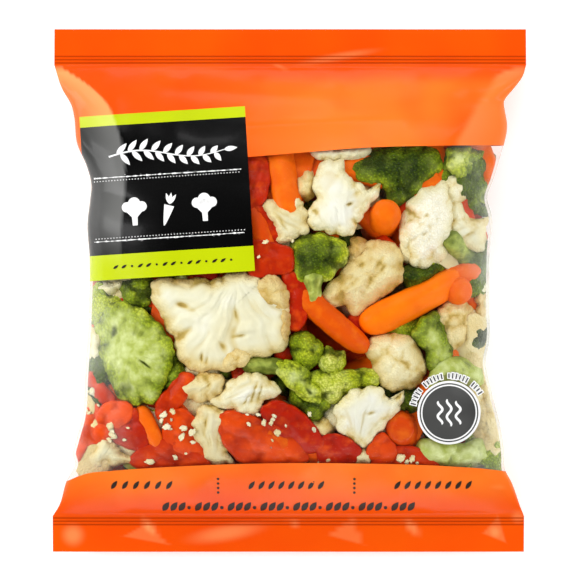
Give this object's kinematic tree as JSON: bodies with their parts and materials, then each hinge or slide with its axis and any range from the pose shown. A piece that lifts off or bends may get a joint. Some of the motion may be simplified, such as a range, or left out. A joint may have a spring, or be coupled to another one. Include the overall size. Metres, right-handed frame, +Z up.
{
  "type": "bag of mixed vegetables",
  "caption": "Sealed plastic pillow bag of mixed vegetables lying on its back, with orange printed ends, a clear window and a dark label.",
  "frame": {"origin": "on the floor, below the middle of the bag's box", "axes": "+Z up, out of the printed front; +Y towards the top seal; +X to the right of the front as read"},
  "size_m": [0.2308, 0.255, 0.0698],
  "materials": {
    "orange_print": "glossy orange ink on thin film",
    "clear_film": "clear thin film",
    "label_black": "glossy black ink on thin film",
    "label_lime": "glossy lime ink on thin film",
    "label_white": "glossy white ink on thin film",
    "broccoli": "moist vegetable",
    "cauliflower": "moist vegetable",
    "carrot": "moist vegetable",
    "red_pepper": "moist vegetable skin"
  },
  "bodies": {
    "root": {"bag": "orange_print"}
  },
  "joints": []
}
